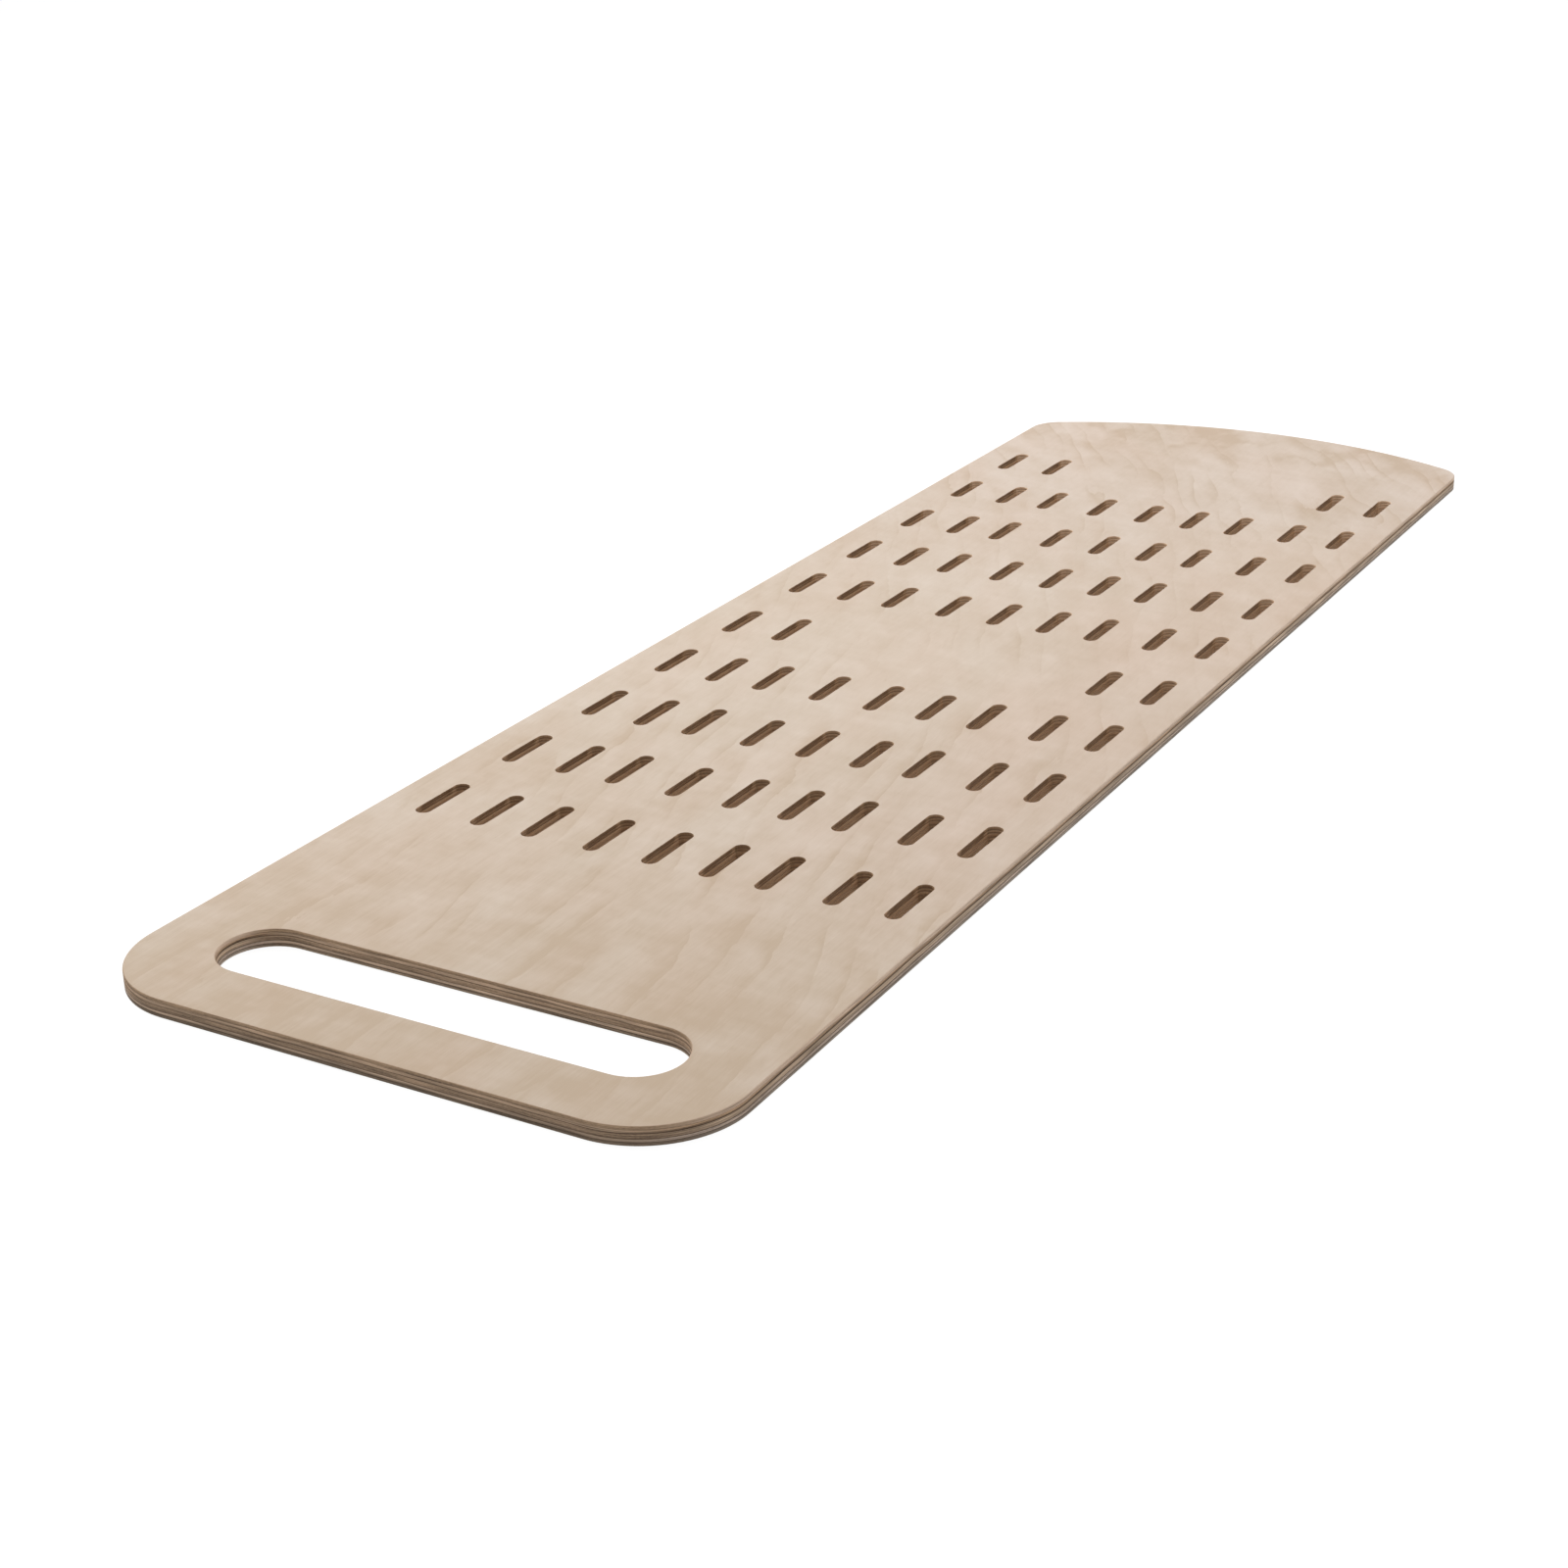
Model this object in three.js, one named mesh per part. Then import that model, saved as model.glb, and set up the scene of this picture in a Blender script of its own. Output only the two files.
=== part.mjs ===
// Perforated pizza peel: a flat plywood board that carries a long pizza into the oven.
// Five veneers lie with their grain crossed, are glued face to face, and are cut through as one
// stack: a crowned leading end, a handle end with round corners and a wide hand hole, and a field
// of slots that lets loose flour fall through before the oven.
// Millimetres, +Z up. X runs across the board and +Y towards the crowned leading end.
// The origin is under the middle of the board, on the face that it rests on.

import * as THREE from 'three';

// Board outline
const boardWidth = 300;
const boardLength = 1000;
const handleCornerRadius = 46;
const crownRise = 40;
const crownCornerRadius = 22;

// Hand hole: full round ends, with a grip bar in front of it and a strap at each side
const gripBarDepth = 34;
const sideStrapWidth = 35;
const handHoleHeight = 42;

// Flour slots: full round ends, the long way along the board
const slotLength = 38;
const slotWidth = 8;

// Slot columns: places of the outer ones, and the uneven steps that share out what lies between
const leftColumnInset = 25;
const rightColumnInset = 23;
const columnSteps = [32, 29, 34.5, 32, 30.5, 29, 34.5, 30.5];

// Slot rows: blocks of full rows that each end in a short row with only its outer columns cut
const plainBehindHandHole = 127;
const plainBeforeCrown = 79.5;
const blockCount = 2;
const rowsPerBlock = 5;
const blockStep = 75.5;
const shortRowColumns = 2;

// Veneer thicknesses
const outerVeneer = 1.6;
const crossband = 1.5;
const core = 2.3;

// Largest distance between a true arc and its facets
const facetDepth = 0.54;

const handleEnd = -boardLength / 2;
const halfWidth = boardWidth / 2;

// Points along an arc, both ends included, angles in radians
function arcPoints(x, y, radius, startAngle, endAngle) {
  const span = Math.abs(endAngle - startAngle);
  const widestStep = 2 * Math.acos(1 - Math.min(1, facetDepth / radius));
  const steps = Math.ceil(span / widestStep);
  const clockwise = endAngle < startAngle;
  const arc = new THREE.EllipseCurve(x, y, radius, radius, startAngle, endAngle, clockwise);
  return arc.getPoints(steps);
}

// Outline with full round ends about (x, y), its straight sides parallel to X
function roundEndedAcross(x, y, length, height) {
  const radius = height / 2;
  const reach = length / 2 - radius;
  return [
    ...arcPoints(x + reach, y, radius, -Math.PI / 2, Math.PI / 2),
    ...arcPoints(x - reach, y, radius, Math.PI / 2, Math.PI * 1.5),
  ];
}

// Outline with full round ends about (x, y), its straight sides parallel to Y
function roundEndedAlong(x, y, length, width) {
  const radius = width / 2;
  const reach = length / 2 - radius;
  return [
    ...arcPoints(x, y + reach, radius, 0, Math.PI),
    ...arcPoints(x, y - reach, radius, Math.PI, Math.PI * 2),
  ];
}

// Counter-clockwise outline of the board, from the handle end's left corner
function boardOutline() {
  const crownRadius = (halfWidth ** 2 + crownRise ** 2) / (2 * crownRise);
  const crownCentre = handleEnd + boardLength - crownRadius;
  const cornerX = halfWidth - crownCornerRadius;
  const cornerOverCentre = Math.sqrt((crownRadius - crownCornerRadius) ** 2 - cornerX ** 2);
  const cornerY = crownCentre + cornerOverCentre;
  const cornerAngle = Math.atan2(cornerOverCentre, cornerX);
  const handleX = halfWidth - handleCornerRadius;
  const handleY = handleEnd + handleCornerRadius;
  const crown = arcPoints(0, crownCentre, crownRadius, cornerAngle, Math.PI - cornerAngle);
  return [
    ...arcPoints(-handleX, handleY, handleCornerRadius, Math.PI, Math.PI * 1.5),
    ...arcPoints(handleX, handleY, handleCornerRadius, Math.PI * 1.5, Math.PI * 2),
    ...arcPoints(cornerX, cornerY, crownCornerRadius, 0, cornerAngle),
    ...crown.slice(1, -1),
    ...arcPoints(-cornerX, cornerY, crownCornerRadius, Math.PI - cornerAngle, Math.PI),
  ];
}

function handHoleOutline() {
  const y = handleEnd + gripBarDepth + handHoleHeight / 2;
  return roundEndedAcross(0, y, boardWidth - 2 * sideStrapWidth, handHoleHeight);
}

// X of each slot column, left to right
function columnPlaces() {
  const field = boardWidth - leftColumnInset - rightColumnInset;
  const allSteps = columnSteps.reduce((sum, step) => sum + step, 0);
  const places = [leftColumnInset - halfWidth];
  for (const step of columnSteps) {
    places.push(places.at(-1) + field * step / allSteps);
  }
  return places;
}

// Each slot row from the handle end on: its Y, and whether it is a short one
function slotRows() {
  const firstY = handleEnd + gripBarDepth + handHoleHeight + plainBehindHandHole + slotLength / 2;
  const lastY = handleEnd + boardLength - crownRise - plainBeforeCrown - slotLength / 2;
  const stepsBetweenBlocks = blockCount - 1;
  const stepsInBlocks = blockCount * (rowsPerBlock - 1);
  const rowStep = (lastY - firstY - stepsBetweenBlocks * blockStep) / stepsInBlocks;
  const blockLength = (rowsPerBlock - 1) * rowStep + blockStep;
  const rows = [];
  for (let block = 0; block < blockCount; block += 1) {
    for (let row = 0; row < rowsPerBlock; row += 1) {
      rows.push({ y: firstY + block * blockLength + row * rowStep, isShort: row === rowsPerBlock - 1 });
    }
  }
  return rows;
}

function slotOutlines() {
  const columns = columnPlaces();
  const outlines = [];
  for (const { y, isShort } of slotRows()) {
    columns.forEach((x, column) => {
      const fromSide = Math.min(column, columns.length - 1 - column);
      if (!isShort || fromSide < shortRowColumns) {
        outlines.push(roundEndedAlong(x, y, slotLength, slotWidth));
      }
    });
  }
  return outlines;
}

// Every veneer is cut by the same outline, hand hole and slots
function cutShape() {
  const shape = new THREE.Shape(boardOutline());
  for (const outline of [handHoleOutline(), ...slotOutlines()]) {
    shape.holes.push(new THREE.Path(outline));
  }
  return shape;
}

// The stack from the back face up. Grain runs along the board in the outer veneers and the core,
// and across it in the crossbands, whose cut ends look darker on the long sides.
const veneers = [
  { name: 'back_veneer', thickness: outerVeneer, colour: '#cdb9a1', roughness: 0.62 },
  { name: 'lower_crossband', thickness: crossband, colour: '#9c8670', roughness: 0.74 },
  { name: 'core_veneer', thickness: core, colour: '#b7a289', roughness: 0.7 },
  { name: 'upper_crossband', thickness: crossband, colour: '#9c8670', roughness: 0.74 },
  { name: 'face_veneer', thickness: outerVeneer, colour: '#d2bfa8', roughness: 0.58 },
];

function buildPeel() {
  const peel = new THREE.Group();
  const shape = cutShape();
  let height = 0;
  for (const { name, thickness, colour, roughness } of veneers) {
    const geometry = new THREE.ExtrudeGeometry(shape, { depth: thickness, bevelEnabled: false });
    const material = new THREE.MeshStandardMaterial({ color: colour, roughness, metalness: 0 });
    const veneer = new THREE.Mesh(geometry, material);
    veneer.name = name;
    veneer.position.z = height;
    peel.add(veneer);
    height += thickness;
  }
  return peel;
}

export default buildPeel();
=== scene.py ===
# Perforated pizza peel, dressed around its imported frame: five veneers with their grain crossed,
# pressed into one flat board, cut through as a stack, sanded, and left bare of any finish.
import math

import bmesh
import bpy
from mathutils import Matrix, Vector


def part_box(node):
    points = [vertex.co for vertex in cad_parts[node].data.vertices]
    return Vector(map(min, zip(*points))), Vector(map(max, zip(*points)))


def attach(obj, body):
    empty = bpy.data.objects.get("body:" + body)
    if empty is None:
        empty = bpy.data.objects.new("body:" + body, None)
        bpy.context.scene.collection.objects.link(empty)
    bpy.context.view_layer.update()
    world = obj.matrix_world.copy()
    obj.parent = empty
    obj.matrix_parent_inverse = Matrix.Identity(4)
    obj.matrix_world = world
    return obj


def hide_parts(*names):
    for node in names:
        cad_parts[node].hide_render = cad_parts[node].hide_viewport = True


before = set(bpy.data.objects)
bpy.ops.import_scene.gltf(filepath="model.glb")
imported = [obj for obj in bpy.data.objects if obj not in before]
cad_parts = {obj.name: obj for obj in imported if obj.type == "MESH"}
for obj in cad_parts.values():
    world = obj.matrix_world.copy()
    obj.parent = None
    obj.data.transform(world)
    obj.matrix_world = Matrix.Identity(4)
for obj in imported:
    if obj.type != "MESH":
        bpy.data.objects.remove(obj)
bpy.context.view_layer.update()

# Back veneer
# The lowest of the five sheets: pale peeled wood with its grain along the board, glued up against
# the lower crossband. The board rests on it, and its lower arrises are sanded a little round.
mm = 0.001
back_low, back_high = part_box("back_veneer")
board_near = back_low.y
board_far = back_high.y
board_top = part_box("face_veneer")[1].z
half_width = back_high.x
handle_corner = 46 * mm
handle_corner_steps = 24
crown_rise = 40 * mm
crown_steps = 72
crown_corner = 22 * mm
crown_corner_steps = 14
grip_bar = 34 * mm
side_strap = 35 * mm
hand_hole_height = 42 * mm
hand_hole_steps = 28
slot_length = 38 * mm
slot_width = 8 * mm
slot_end_steps = 14
left_column_inset = 25 * mm
right_column_inset = 23 * mm
column_steps = (32, 29, 34.5, 32, 30.5, 29, 34.5, 30.5)
plain_behind_hand_hole = 127 * mm
plain_before_crown = 79.5 * mm
block_count = 2
rows_per_block = 5
block_step = 75.5 * mm
short_row_columns = 2
first_row = board_near + grip_bar + hand_hole_height + plain_behind_hand_hole + slot_length / 2
last_row = board_far - crown_rise - plain_before_crown - slot_length / 2
row_step = (last_row - first_row - (block_count - 1) * block_step) / (block_count * (rows_per_block - 1))
block_length = (rows_per_block - 1) * row_step + block_step
edge_round = 0.5 * mm
slot_round = 0.15 * mm
round_steps = 3
edge_index = 1
slot_wall_index = 2


def arc(x, y, radius, start, end, steps):
    """Points along an arc, both ends included, angles in degrees."""
    points = []
    for step in range(steps + 1):
        angle = math.radians(start + (end - start) * step / steps)
        points.append((x + radius * math.cos(angle), y + radius * math.sin(angle)))
    return points


def board_outline(inset):
    """Outer outline of the board, drawn in by the inset."""
    crown_radius = (half_width ** 2 + crown_rise ** 2) / (2 * crown_rise)
    crown_y = board_far - crown_radius
    corner_x = half_width - crown_corner
    corner_up = math.sqrt((crown_radius - crown_corner) ** 2 - corner_x ** 2)
    corner_y = crown_y + corner_up
    corner_turn = math.degrees(math.atan2(corner_up, corner_x))
    corner_radius = crown_corner - inset
    handle_x = half_width - handle_corner
    handle_y = board_near + handle_corner
    handle_radius = handle_corner - inset
    crown = arc(0, crown_y, crown_radius - inset, corner_turn, 180 - corner_turn, crown_steps)
    return (
        arc(-handle_x, handle_y, handle_radius, 180, 270, handle_corner_steps)
        + arc(handle_x, handle_y, handle_radius, 270, 360, handle_corner_steps)
        + arc(corner_x, corner_y, corner_radius, 0, corner_turn, crown_corner_steps)
        + crown[1:-1]
        + arc(-corner_x, corner_y, corner_radius, 180 - corner_turn, 180, crown_corner_steps)
    )


def hand_hole_outline(inset):
    """Outline of the hand hole, widened by the inset."""
    radius = hand_hole_height / 2
    reach = half_width - side_strap - radius
    y = board_near + grip_bar + radius
    right_end = arc(reach, y, radius + inset, -90, 90, hand_hole_steps)
    left_end = arc(-reach, y, radius + inset, 90, 270, hand_hole_steps)
    return right_end + left_end


def slot_outline(x, y, inset):
    """Outline of one flour slot about its middle, widened by the inset."""
    radius = slot_width / 2
    reach = slot_length / 2 - radius
    far_end = arc(x, y + reach, radius + inset, 0, 180, slot_end_steps)
    near_end = arc(x, y - reach, radius + inset, 180, 360, slot_end_steps)
    return far_end + near_end


def slot_places():
    """Middle of every flour slot: full rows in blocks, each block ending in a short row."""
    columns = [left_column_inset - half_width]
    field = 2 * half_width - left_column_inset - right_column_inset
    for step in column_steps:
        columns.append(columns[-1] + field * step / sum(column_steps))
    places = []
    for block in range(block_count):
        for row in range(rows_per_block):
            for column, x in enumerate(columns):
                from_side = min(column, len(columns) - 1 - column)
                if row < rows_per_block - 1 or from_side < short_row_columns:
                    places.append((x, first_row + block * block_length + row * row_step))
    return places


def wall_profile(low, high, low_round, high_round):
    """Inset and height of each ring of a wall, from the lower face to the upper one."""
    rings = []
    if low_round:
        for step in range(round_steps):
            turn = math.radians(90 * step / round_steps)
            rings.append((low_round * (1 - math.sin(turn)), low + low_round * (1 - math.cos(turn))))
    rings.append((0, low + low_round))
    rings.append((0, high - high_round))
    if high_round:
        for step in range(round_steps):
            turn = math.radians(90 * (step + 1) / round_steps)
            rings.append((high_round * (1 - math.cos(turn)), high - high_round * (1 - math.sin(turn))))
    return rings


def add_wall(mesh, outline, rings, material_index):
    """Adds one smooth wall and returns the edges of its first and last ring."""
    loops = []
    for inset, z in rings:
        loops.append([mesh.verts.new((x, y, z)) for x, y in outline(inset)])
    for lower, upper in zip(loops, loops[1:]):
        for here in range(len(lower)):
            after = (here + 1) % len(lower)
            face = mesh.faces.new((lower[here], lower[after], upper[after], upper[here]))
            face.smooth = True
            face.material_index = material_index
    ends = []
    for loop in (loops[0], loops[-1]):
        ends.append([mesh.edges.get((loop[here - 1], loop[here])) for here in range(len(loop))])
    return ends


def veneer_piece(name, low, high, rounded_low, rounded_high, materials):
    """One sheet cut by the outline, the hand hole and all the slots, as a closed mesh.

    The two rounded values are the shares of the full rounding that its lower and upper arrises get.
    The materials are those of its faces, its edges and its slot walls, in that order.
    """
    cuts = [(board_outline, edge_round, edge_index), (hand_hole_outline, edge_round, edge_index)]
    for x, y in slot_places():
        cuts.append((lambda inset, x=x, y=y: slot_outline(x, y, inset), slot_round, slot_wall_index))
    mesh = bmesh.new()
    lower_rim = []
    upper_rim = []
    for outline, softened, material_index in cuts:
        rings = wall_profile(low, high, softened * rounded_low, softened * rounded_high)
        lower, upper = add_wall(mesh, outline, rings, material_index)
        lower_rim += lower
        upper_rim += upper
    bmesh.ops.triangle_fill(mesh, use_beauty=True, edges=lower_rim, normal=(0, 0, -1))
    bmesh.ops.triangle_fill(mesh, use_beauty=True, edges=upper_rim, normal=(0, 0, 1))
    bmesh.ops.recalc_face_normals(mesh, faces=mesh.faces)
    data = bpy.data.meshes.new(name)
    mesh.to_mesh(data)
    mesh.free()
    for material in materials:
        data.materials.append(material)
    piece = bpy.data.objects.new(name, data)
    bpy.context.scene.collection.objects.link(piece)
    return piece


class Wire:
    """An output socket of a shader tree. Arithmetic with it adds Math nodes."""

    def __init__(self, tree, socket=None):
        self.tree = tree
        self.socket = socket

    def node(self, kind, settings, sockets, output=0):
        """Adds a node, sets it up, fills or links its inputs, and returns one output."""
        added = self.tree.nodes.new(kind)
        for setting, value in settings.items():
            setattr(added, setting, value)
        for key, value in sockets.items():
            if isinstance(value, Wire):
                self.tree.links.new(value.socket, added.inputs[key])
            else:
                added.inputs[key].default_value = value
        return Wire(self.tree, added.outputs[output])

    def math(self, operation, first, second=0.0):
        return self.node("ShaderNodeMath", {"operation": operation}, {0: first, 1: second})

    def __add__(self, other):
        return self.math("ADD", self, other)

    def __radd__(self, other):
        return self.math("ADD", other, self)

    def __sub__(self, other):
        return self.math("SUBTRACT", self, other)

    def __rsub__(self, other):
        return self.math("SUBTRACT", other, self)

    def __mul__(self, other):
        return self.math("MULTIPLY", self, other)

    def __rmul__(self, other):
        return self.math("MULTIPLY", other, self)

    def __truediv__(self, other):
        return self.math("DIVIDE", self, other)

    def __pow__(self, other):
        return self.math("POWER", self, other)

    def __abs__(self):
        return self.math("ABSOLUTE", self)

    def rise(self, start, end):
        """0 before the start, 1 after the end, and smooth between them."""
        sockets = {"Value": self, "From Min": start, "From Max": end}
        return self.node("ShaderNodeMapRange", {"interpolation_type": "SMOOTHSTEP"}, sockets)

    def mix(self, first, second, blend="MIX"):
        """Colour between two colours, by this wire."""
        settings = {"data_type": "RGBA", "blend_type": blend}
        return self.node("ShaderNodeMix", settings, {0: self, 6: first, 7: second}, 2)

    def tinted(self, tint):
        """This colour times a tint."""
        settings = {"data_type": "RGBA", "blend_type": "MULTIPLY"}
        return self.node("ShaderNodeMix", settings, {0: 1.0, 6: self, 7: tint}, 2)

    def feed(self, shader, socket):
        self.tree.links.new(self.socket, shader.inputs[socket])


def new_material(name):
    """A material with its tree as a wire, and its shader."""
    material = bpy.data.materials.new(name)
    material.use_nodes = True
    tree = material.node_tree
    return material, Wire(tree), tree.nodes["Principled BSDF"]


def relief(wire, shader, strength, distance, height):
    """Fine relief of a surface, by a bump."""
    sockets = {"Strength": strength, "Distance": distance, "Height": height}
    wire.node("ShaderNodeBump", {}, sockets).feed(shader, "Normal")


def spots(place, size, seed, detail=2.0):
    """Noise whose spots have that size, given in the same units as the place."""
    scaled = place.node("ShaderNodeVectorMath", {"operation": "DIVIDE"}, {0: place, 1: size})
    sockets = {"Vector": scaled, "W": seed, "Scale": 1.0, "Detail": detail, "Roughness": 0.5}
    return place.node("ShaderNodeTexNoise", {"noise_dimensions": "4D"}, sockets)


def three_numbers(vector):
    """The three numbers of a vector."""
    return [vector.node("ShaderNodeSeparateXYZ", {}, {0: vector}, axis) for axis in range(3)]


def place_in_mm(wire):
    """Place on the piece in millimetres, as a vector."""
    place = wire.node("ShaderNodeTexCoord", {}, {}, "Object")
    return wire.node("ShaderNodeVectorMath", {"operation": "SCALE"}, {0: place, "Scale": 1 / mm})


def handle_end_shade(from_end):
    """Painted shade at the handle's end: near 1 there, and 0 past the second row of slots."""
    return 1 - from_end.rise(-80, 330)


def veneer_wood(name, grain, seed, pale, deep):
    """Sanded bare face of one sheet, its grain along axis 0 or 1.

    Growth lines that lean and curl towards the crown, with clouds, mottle, fibres and flecks.
    Lengths are in millimetres. On a sheet with its grain along the board, from_end counts from the
    handle's end.
    """
    material, wire, shader = new_material(name)
    x, y, z = three_numbers(place_in_mm(wire))
    across, along = (y, x) if grain == 0 else (x, y)
    from_end = along - board_near / mm
    handle_shade = handle_end_shade(from_end)
    before_slots = 1 - from_end.rise(200, 420)
    middle = from_end.rise(330, 480) * (1 - from_end.rise(720, 820))
    crown = from_end.rise(780, 930)
    crown_rim = from_end.rise(880, 965)

    handle_bend = across.rise(10, 150) * (1 - from_end.rise(0, 260))
    lean = from_end * (0.03 + 0.0003 * from_end) - 28 * handle_bend
    leaning = wire.node("ShaderNodeCombineXYZ", {}, {0: across + lean, 1: along, 2: z})
    straight = wire.node("ShaderNodeCombineXYZ", {}, {0: across, 1: along, 2: z})

    ring_gap = 19
    wander = spots(leaning, (110, 330, 60), seed + 1) - 0.5
    sway = spots(leaning, (38, 90, 40), seed + 2) - 0.5
    jag = spots(leaning, (2.5, 11, 5), seed + 3, 3.0) - 0.5
    curl = 20 + 45 * from_end.rise(520, 900)
    rings = (across + lean + 100 * wander + curl * sway + 4 * jag) / ring_gap
    late = wire.math("FRACT", rings) ** 4 * spots(leaning, (30, 60, 30), seed + 4).rise(0.4, 0.72)
    late = late * (1 - 0.45 * middle)

    cloud = spots(leaning, (46, 76, 40), seed + 5.6) - 0.5
    mottle = spots(leaning, (16, 24, 15), seed + 6, 3.0) - 0.5
    ripple = spots(leaning, (24, 6, 12), seed + 7) - 0.5
    fibre = spots(straight, (0.7, 14, 0.45), seed + 8, 3.0) - 0.5
    streak = spots(straight, (3.0, 60, 3.0), seed + 13) - 0.5
    fleck = spots(straight, (0.5, 4.5, 0.5), seed + 9, 1.0).rise(0.69, 0.8)
    wisp = spots(leaning, (2.2, 17, 4), seed + 14, 2.0).rise(0.54, 0.74)
    rim_patch = spots(straight, (20, 30, 15), seed + 15).rise(0.46, 0.68) * crown_rim
    fine = 0.95 * mottle + 0.3 * ripple + 0.28 * streak + 0.3 * fibre + 0.35 * fleck + 0.1 * wisp
    figure = 0.34 + cloud * (0.8 + 0.7 * crown - 0.35 * before_slots) + fine * (1 + 0.35 * before_slots)
    # The handle's end is painted darker: painted shade where the lamps light the board less.
    figure = figure + 0.62 * late + 0.5 * rim_patch + 0.52 * handle_shade + 0.06 * crown

    colour = figure.mix((*pale, 1), (*deep, 1))
    blush_tint = (1.0, 0.93, 0.9, 1)
    blush = spots(leaning, (42, 95, 40), seed + 10).rise(0.35, 0.7)
    colour = (0.32 * blush).mix(colour, blush_tint, "MULTIPLY")
    # The tints are cooled a little as painted sheen of the white room, the crown one most.
    handle_tint = (0.976, 1.0, 0.986, 1)
    crown_tint_and_sheen = (0.97, 0.997, 1.016, 1)
    right_side_tint = (0.968, 0.966, 0.95, 1)
    right_side = across.rise(0, 110) * from_end.rise(100, 300) * (1 - from_end.rise(740, 840))
    tint = from_end.rise(450, 900).mix(handle_tint, crown_tint_and_sheen)
    tint = right_side.mix(tint, right_side_tint)
    colour.tinted(tint).feed(shader, "Base Color")

    (0.62 + 0.25 * fibre - 0.04 * late).feed(shader, "Roughness")
    shader.inputs["Specular IOR Level"].default_value = 0.5
    height = 0.6 * fibre + 0.3 * mottle - 0.5 * fleck - 0.25 * late
    relief(wire, shader, strength=0.25, distance=0.1 * mm, height=height)
    return material


def sawn_edge(name, grain, seed, low, high, seams, pale, deep, cut_side, cut_end, fade):
    """Sawn and sanded edge of one sheet, with the dark glue lines at its seams.

    Streaked along the sheet, in one colour where the grain runs along the edge and another where
    it is cut across. That end grain shades off through the sheet's thickness, the walls of the hand
    hole are painted paler towards the floor as painted bounce light, and the sanded arris has the
    colour of the face.
    """
    material, wire, shader = new_material(name)
    place = place_in_mm(wire)
    x, y, z = three_numbers(place)
    from_end = y - board_near / mm
    handle_shade = handle_end_shade(from_end)
    normal = three_numbers(wire.node("ShaderNodeTexCoord", {}, {}, "Normal"))
    wall = 1 - abs(normal[2]).rise(0.85, 0.99)
    sideways = wire.math("MAXIMUM", (normal[0] * normal[0] + normal[1] * normal[1]) ** 0.5, 0.05)
    end_cut = (abs(normal[grain]) / sideways).rise(0.25, 0.9)

    pore = spots(place, (1.4, 1.4, 0.35), seed, 3.0) - 0.5
    layer = spots(place, (20, 20, 0.35), seed + 1, 2.0) - 0.5
    band = spots(place, (30, 30, 1.0), seed + 2, 2.0) - 0.5
    hairline = spots(place, (26, 26, 0.24), seed + 3, 1.0).rise(0.6, 0.74)
    below = board_top / mm - z
    height = (z - (low + high) / 2 / mm) / ((high - low) / mm)
    streaks = (2.3 * layer + 1.6 * band - 0.35 * hairline) * below.rise(-0.3, 1.0)
    shade = 1.0 + streaks + end_cut * (1.2 * pore + fade * height)

    # Painted bounce light: the walls of the hand hole are painted paler towards the floor, most at the
    # bottom.
    hole_near = grip_bar / mm
    hole_far = (grip_bar + hand_hole_height) / mm
    hole_side = (half_width - side_strap) / mm
    hole_bounce_light = from_end.rise(hole_near - 19, hole_near - 4)
    hole_bounce_light = hole_bounce_light * (1 - from_end.rise(hole_far + 14, hole_far + 34))
    hole_bounce_light = hole_bounce_light * (1 - abs(x).rise(hole_side + 3, hole_side + 10))
    shade = shade * (1 + hole_bounce_light * (0.045 * below + 0.36 * below.rise(6.3, 8.0)))
    shade = wire.math("MAXIMUM", shade, 0.12)

    # Edges and arris are painted darker at the handle's end too: the same painted shade.
    side_handle_shade = (0.92 * cut_side[0], 0.88 * cut_side[1], 0.84 * cut_side[2])
    side = handle_shade.mix((*cut_side, 1), (*side_handle_shade, 1))
    tone = end_cut.mix(side, (*cut_end, 1))
    colour = wire.node("ShaderNodeVectorMath", {"operation": "SCALE"}, {0: tone, "Scale": shade})
    glue_brown = (0.09, 0.055, 0.032, 1)
    for seam in seams:
        glue = (1 - abs(z - seam / mm).rise(0.08, 0.28)) * (0.7 + 1.2 * layer)
        colour = glue.mix(colour, glue_brown)
    arris = (0.38 + 0.52 * handle_shade).mix((*pale, 1), (*deep, 1))
    wall.mix(arris, colour).feed(shader, "Base Color")

    (0.85 + 0.3 * layer).feed(shader, "Roughness")
    shader.inputs["Specular IOR Level"].default_value = 0.2
    relief(wire, shader, strength=0.3, distance=0.1 * mm, height=layer + pore)
    return material


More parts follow.
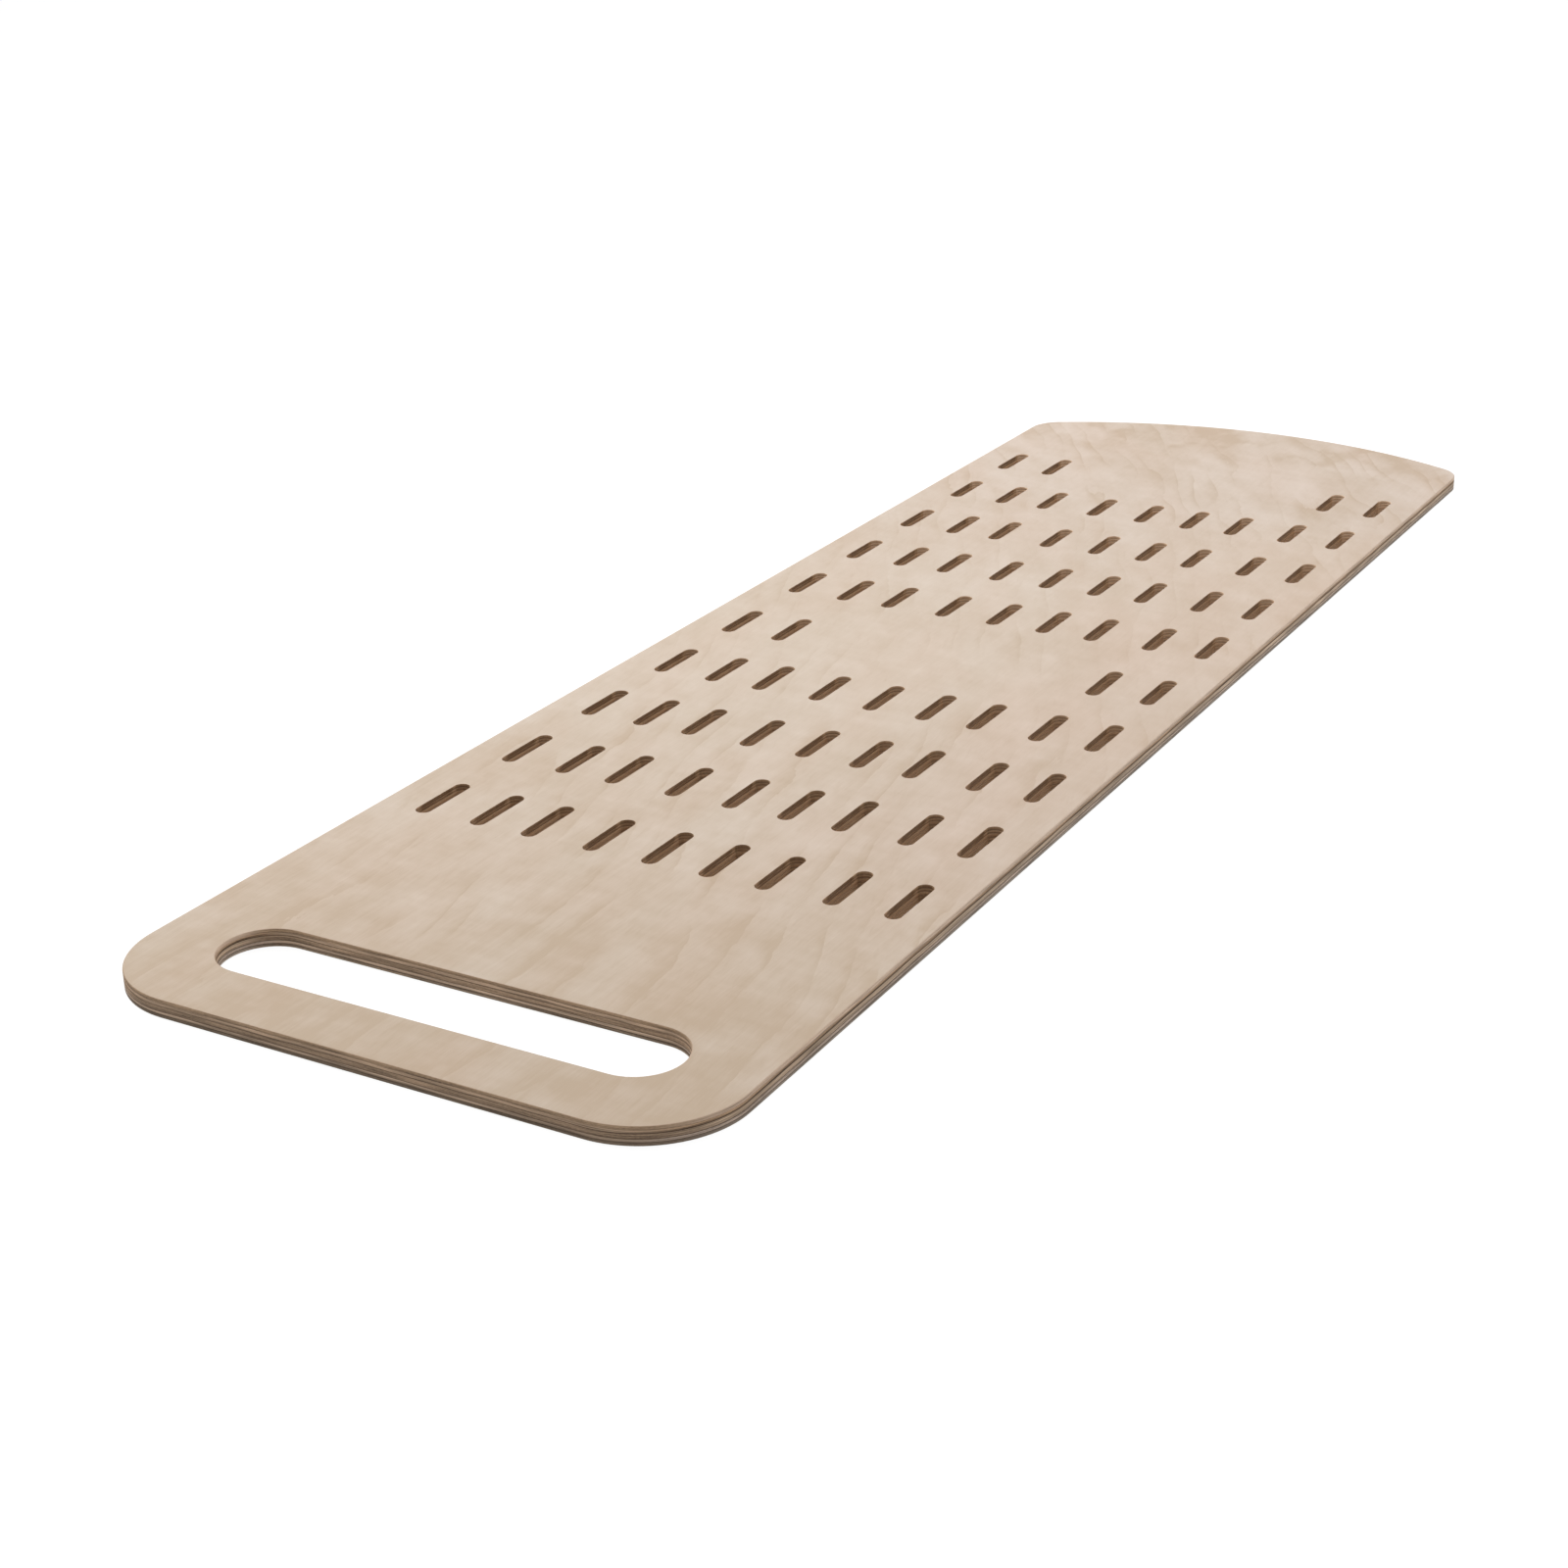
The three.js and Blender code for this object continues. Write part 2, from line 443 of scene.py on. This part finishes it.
def toasted_wall(name, seed, entry, deeper, seams):
    """Slot wall, browned by the hot cut, with the dark glue lines at its seams.

    Darkest near the upper face and paler deeper down: partly browning from the cut, partly painted
    light against the slot's own shade. Palest at the round ends of the slots near the crown; the round
    ends also get painted light on their right-hand side and painted shade deep down.
    """
    material, wire, shader = new_material(name)
    place = place_in_mm(wire)
    y, z = three_numbers(place)[1:]
    from_first = y - first_row / mm
    second_block = wire.math("GREATER_THAN", from_first, (block_length - block_step / 2) / mm)
    rows = (from_first - second_block * (block_length / mm)) / (row_step / mm)
    from_middle = abs(wire.math("FRACT", rows + 0.5) - 0.5) * (row_step / mm)
    straight_end = (slot_length - slot_width) / 2 / mm
    round_end = from_middle.rise(straight_end, straight_end + 1)
    before_turn = from_middle.rise(straight_end - 5, straight_end - 0.5) * (1 - round_end)
    facing = wire.node("ShaderNodeTexCoord", {}, {}, "Normal")
    right_side = (0 - three_numbers(facing)[0]).rise(0.2, 0.8)
    towards_crown = (y - board_near / mm).rise(60, 1060)
    below = board_top / mm - z
    # Paler deeper down: partly less browning, partly painted light against the shade deep in the slot.
    depth = 0.3 * below.rise(0.8, 5.5) + 0.7 * below.rise(2.5, 3.7)

    burn = spots(place, (0.8, 0.8, 7.0), seed, 3.0) - 0.5
    layer = spots(place, (14, 14, 0.45), seed + 1, 2.0) - 0.5
    patch = spots(place, (9, 12, 4), seed + 2, 2.0) - 0.5
    # At the round ends: painted light on their right-hand side, and painted shade deep down.
    paler_end = 0.1 + 1.1 * towards_crown + 0.5 * right_side - 0.8 * depth
    paler = depth + burn + 1.5 * layer + 1.1 * patch + 0.8 * before_turn
    paler = paler + 0.05 * towards_crown + round_end * paler_end
    colour = paler.mix((*entry, 1), (*deeper, 1))
    crown_end_pale = (0.82, 0.61, 0.435, 1)
    colour = (0.88 * round_end * towards_crown).mix(colour, crown_end_pale)
    glue_brown = (0.06, 0.03, 0.014, 1)
    glue = sum(1 - abs(z - seam / mm).rise(0.06, 0.2) for seam in seams)
    (glue * (0.35 + 1.2 * layer)).mix(colour, glue_brown).feed(shader, "Base Color")

    (0.72 + 0.3 * burn).feed(shader, "Roughness")
    shader.inputs["Specular IOR Level"].default_value = 0.25
    relief(wire, shader, strength=0.4, distance=0.15 * mm, height=burn + layer)
    return material


back_pale = (0.69, 0.56, 0.44)
back_deep = (0.49, 0.355, 0.23)
back_wood = veneer_wood("back_veneer_wood", grain=1, seed=31.0, pale=back_pale, deep=back_deep)
# The back veneer's edge colours are darker than the other sheets': painted shade along the bottom of the
# board, by the floor.
back_edge = sawn_edge(
    "back_veneer_edge", grain=1, seed=71.0, low=back_low.z, high=back_high.z,
    seams=[back_high.z], pale=back_pale, deep=back_deep,
    cut_side=(0.34, 0.284, 0.236), cut_end=(0.195, 0.144, 0.103), fade=-0.6,
)
back_slot_wall = toasted_wall(
    "back_veneer_slot_wall", seed=141.0, entry=(0.26, 0.143, 0.069),
    deeper=(0.53, 0.342, 0.203), seams=[back_high.z],
)
back_veneer = veneer_piece(
    "back_sheet", back_low.z, back_high.z, rounded_low=0.6, rounded_high=0,
    materials=[back_wood, back_edge, back_slot_wall],
)
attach(back_veneer, "root")
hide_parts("back_veneer")

# Crossbands
# Two inner sheets with their grain across the board, glued on both faces. They keep the board from
# splitting and cupping, and the upper one's cut ends make the dark line along the long sides.
for crossband_node, crossband_seed, crossband_side, crossband_end, crossband_fade in (
    ("lower_crossband", 252.0, (0.49, 0.374, 0.282), (0.545, 0.427, 0.344), -0.8),
    ("upper_crossband", 367.0, (0.50, 0.367, 0.262), (0.31, 0.206, 0.129), 1.5),
):
    band_low, band_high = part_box(crossband_node)
    band_seams = [band_low.z, band_high.z]
    # On the outer edge no glue line shows under the face veneer
    face_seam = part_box("face_veneer")[0].z
    dark_seams = [seam for seam in band_seams if seam < face_seam]
    band_pale = (0.70, 0.54, 0.40)
    band_deep = (0.50, 0.37, 0.26)
    band_wood = veneer_wood(
        crossband_node + "_wood", grain=0, seed=crossband_seed, pale=band_pale, deep=band_deep,
    )
    band_edge = sawn_edge(
        crossband_node + "_edge", grain=0, seed=crossband_seed + 25, low=band_low.z, high=band_high.z,
        seams=dark_seams, pale=band_pale, deep=band_deep,
        cut_side=crossband_side, cut_end=crossband_end, fade=crossband_fade,
    )
    band_slot_wall = toasted_wall(
        crossband_node + "_slot_wall", seed=crossband_seed + 50, entry=(0.22, 0.121, 0.056),
        deeper=(0.53, 0.342, 0.203), seams=band_seams,
    )
    band = veneer_piece(
        crossband_node + "_sheet", band_low.z, band_high.z, rounded_low=0, rounded_high=0,
        materials=[band_wood, band_edge, band_slot_wall],
    )
    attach(band, "root")
    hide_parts(crossband_node)

# Core veneer
# The thick middle sheet, grain along the board again, glued between the two crossbands.
# It shows only as the pale middle band of the long sides and the dark one of the two ends.
core_low, core_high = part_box("core_veneer")
core_seams = [core_low.z, core_high.z]
core_pale = (0.66, 0.51, 0.385)
core_deep = (0.46, 0.345, 0.25)
core_wood = veneer_wood("core_veneer_wood", grain=1, seed=475.0, pale=core_pale, deep=core_deep)
core_edge = sawn_edge(
    "core_veneer_edge", grain=1, seed=515.0, low=core_low.z, high=core_high.z,
    seams=core_seams, pale=core_pale, deep=core_deep,
    cut_side=(0.565, 0.43, 0.316), cut_end=(0.33, 0.229, 0.154), fade=-0.05,
)
core_slot_wall = toasted_wall(
    "core_veneer_slot_wall", seed=583.0, entry=(0.25, 0.135, 0.064),
    deeper=(0.55, 0.352, 0.208), seams=core_seams,
)
core_veneer = veneer_piece(
    "core_sheet", core_low.z, core_high.z, rounded_low=0, rounded_high=0,
    materials=[core_wood, core_edge, core_slot_wall],
)
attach(core_veneer, "root")
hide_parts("core_veneer")

# Face veneer
# The sheet that carries the dough, glued on top: pale, bare and sanded smooth, its arrises round, with
# faint growth lines along the board that lean and curl towards the crowned end.
face_low, face_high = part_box("face_veneer")
face_pale = (0.732, 0.602, 0.505)
face_deep = (0.575, 0.43, 0.31)
face_wood = veneer_wood("face_veneer_wood", grain=1, seed=607.0, pale=face_pale, deep=face_deep)
face_edge = sawn_edge(
    "face_veneer_edge", grain=1, seed=655.0, low=face_low.z, high=face_high.z,
    seams=[], pale=face_pale, deep=face_deep,
    cut_side=(0.67, 0.514, 0.396), cut_end=(0.355, 0.242, 0.155), fade=0.3,
)
face_slot_wall = toasted_wall(
    "face_veneer_slot_wall", seed=791.0, entry=(0.195, 0.107, 0.048),
    deeper=(0.51, 0.33, 0.194), seams=[face_low.z],
)
face_veneer = veneer_piece(
    "face_sheet", face_low.z, face_high.z, rounded_low=0, rounded_high=1,
    materials=[face_wood, face_edge, face_slot_wall],
)
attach(face_veneer, "root")
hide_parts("face_veneer")

# Floor
# A wide pale sheet a hair below the board. It looks white and still takes the board's soft shadow,
# while the light that it throws back on the board's edges is that of a pale grey sheet.
floor_reach = 9.0
floor_drop = 0.3 * mm
floor_grey = (0.72, 0.72, 0.72, 1)
floor_seen_grey = (0.2, 0.2, 0.2, 1)
floor_seen_glow = (0.92, 0.92, 0.92, 1)
no_glow = (0, 0, 0, 1)
floor_data = bpy.data.meshes.new("floor")
floor_data.from_pydata(
    [(-floor_reach, -floor_reach, -floor_drop), (floor_reach, -floor_reach, -floor_drop),
     (floor_reach, floor_reach, -floor_drop), (-floor_reach, floor_reach, -floor_drop)],
    [], [(0, 1, 2, 3)],
)
floor = bpy.data.objects.new("floor", floor_data)
bpy.context.scene.collection.objects.link(floor)


def seen_directly(wire):
    """1 for rays from the camera, a mirror or glass, and 0 for light between surfaces."""
    rays = ("Is Camera Ray", "Is Glossy Ray", "Is Transmission Ray")
    camera_ray, mirror_ray, glass_ray = [wire.node("ShaderNodeLightPath", {}, {}, ray) for ray in rays]
    return wire.math("MINIMUM", camera_ray + mirror_ray + glass_ray, 1.0)


floor_material, floor_wire, floor_sheet = new_material("floor_white")
seen = seen_directly(floor_wire)
seen.mix(floor_grey, floor_seen_grey).feed(floor_sheet, "Base Color")
seen.mix(no_glow, floor_seen_glow).feed(floor_sheet, "Emission Color")
floor_sheet.inputs["Emission Strength"].default_value = 1.0
floor_sheet.inputs["Roughness"].default_value = 1.0
floor_sheet.inputs["Specular IOR Level"].default_value = 0.0
floor_data.materials.append(floor_material)

# Light
# Soft studio light: a broad lamp high beyond the board's crown, a broader one high at its left, a weak
# low one before its handle, a long low one off to its right, and an even room that looks white.
room_light = 0.42
room_white = 1.0
world = bpy.data.worlds.new("white_room")
bpy.context.scene.world = world
world.use_nodes = True
room = world.node_tree.nodes["Background"]
room.inputs["Color"].default_value = (1, 1, 1, 1)
room_strength = room_light + (room_white - room_light) * seen_directly(Wire(world.node_tree))
room_strength.feed(room, "Strength")


def soft_lamp(name, place, aim, width, height, power):
    """A flat lamp at a place, turned towards its aim."""
    data = bpy.data.lights.new(name, "AREA")
    data.shape = "RECTANGLE"
    data.size = width
    data.size_y = height
    data.energy = power
    lamp = bpy.data.objects.new(name, data)
    bpy.context.scene.collection.objects.link(lamp)
    lamp.location = place
    lamp.rotation_euler = (Vector(aim) - Vector(place)).to_track_quat("-Z", "Y").to_euler()


soft_lamp("top_lamp", place=(-0.1, 0.7, 1.5), aim=(0, 0.2, 0), width=1.2, height=1.2, power=9.5)
soft_lamp("left_lamp", place=(-1.6, -0.1, 0.9), aim=(0, 0.1, 0), width=1.5, height=1.5, power=20.2)
soft_lamp("front_lamp", place=(0.5, -2.4, 0.42), aim=(0, -0.4, 0), width=0.7, height=0.7, power=3.8)
soft_lamp("side_lamp", place=(2.2, 1.35, 0.4), aim=(0, 0.2, 0), width=2.2, height=0.7, power=11)

# Camera
# Half a metre up and out beyond the board's near right corner, as in the photograph, so that the board
# runs away from it towards the crown.
lens_px = 2676.4
frame_px = 1600
camera_data = bpy.data.cameras.new("camera")
camera_data.sensor_width = 36
camera_data.lens = lens_px / frame_px * camera_data.sensor_width
camera = bpy.data.objects.new("camera", camera_data)
bpy.context.scene.collection.objects.link(camera)
camera_place = Vector((602.8, -1193.8, 504.4)) * mm
camera_aim = Vector((12.9, -189.2, 8.5)) * mm
camera_roll = math.radians(-1.45)
camera.location = camera_place
camera_turn = (camera_aim - camera_place).to_track_quat("-Z", "Y").to_matrix()
camera.rotation_euler = (camera_turn @ Matrix.Rotation(camera_roll, 3, "Z")).to_euler()
bpy.context.scene.camera = camera
bpy.context.scene.view_settings.view_transform = "Standard"
